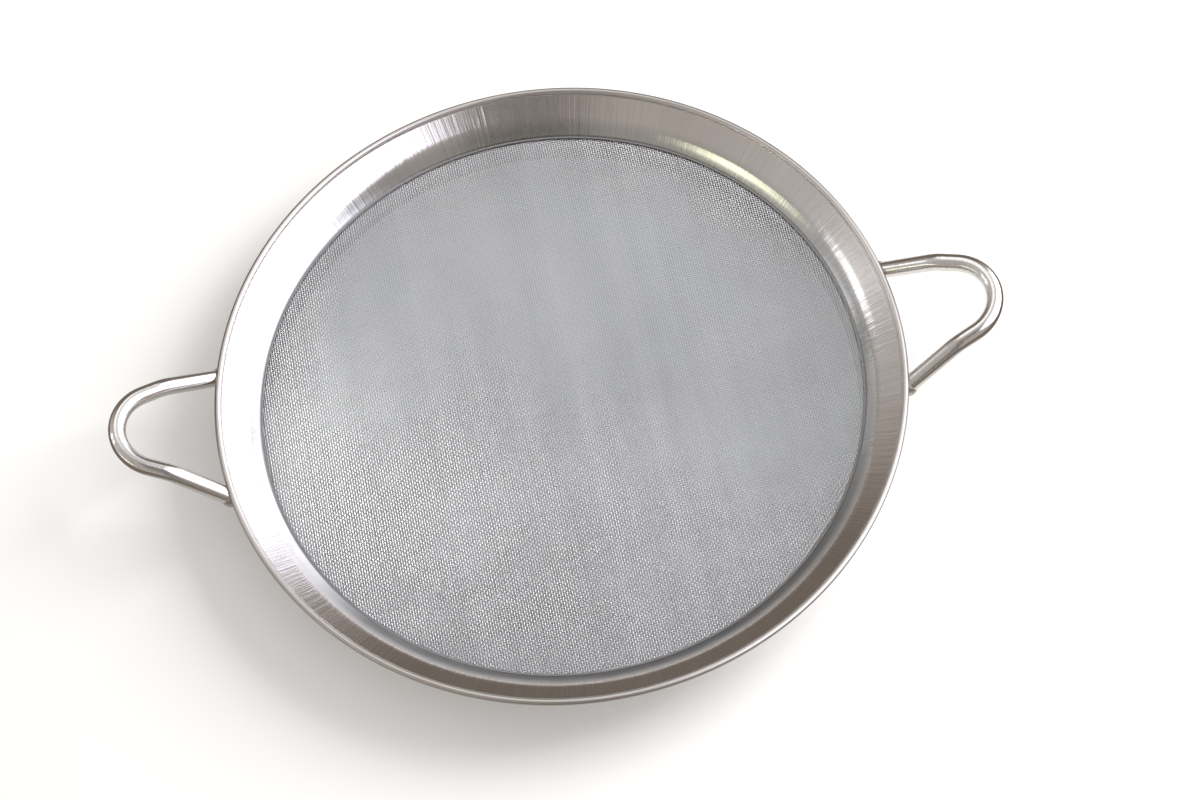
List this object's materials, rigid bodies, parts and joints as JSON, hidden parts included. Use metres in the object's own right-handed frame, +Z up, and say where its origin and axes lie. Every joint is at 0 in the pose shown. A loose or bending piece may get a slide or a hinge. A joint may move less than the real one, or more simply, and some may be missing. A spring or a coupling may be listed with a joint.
{
  "type": "double sieve strainer",
  "caption": "Shallow round stainless sieve with a conical rim and two loop rod handles, nested in a finer second sieve for straining honey.",
  "frame": {"origin": "centre of the foot, on the table", "axes": "+Z up, +X along the line through the two handles, +Y across it"},
  "size_m": [0.309, 0.24, 0.038],
  "materials": {
    "rim_steel": "brushed with fine radial strokes, polished on the rolled bead",
    "lower_steel": "fine satin, brushed round",
    "upper_cloth": "plain-woven stainless wire cloth",
    "lower_cloth": "finer plain-woven stainless wire cloth",
    "handle_rod": "polished stainless rod",
    "edge_wire": "drawn wire",
    "clamp_steel": "satin",
    "weld": "weld metal, cleaned, with slight heat colour"
  },
  "bodies": {
    "lower_sieve": {"lower_rim": "lower_steel", "lower_edge_wire": "edge_wire", "lower_mesh": "lower_cloth", "lower_clamp_ring": "clamp_steel"},
    "upper_sieve": {"upper_rim": "rim_steel", "upper_edge_wire": "edge_wire", "upper_mesh": "upper_cloth", "upper_clamp_ring": "clamp_steel", "left_handle": "handle_rod", "right_handle": "handle_rod", "left_handle_welds": "weld", "right_handle_welds": "weld"}
  },
  "joints": [
    {"name": "upper_sieve_lift", "type": "slide", "parent": "lower_sieve", "child": "upper_sieve", "axis": [0, 0, 1], "range_m": [0, 0.06]}
  ]
}
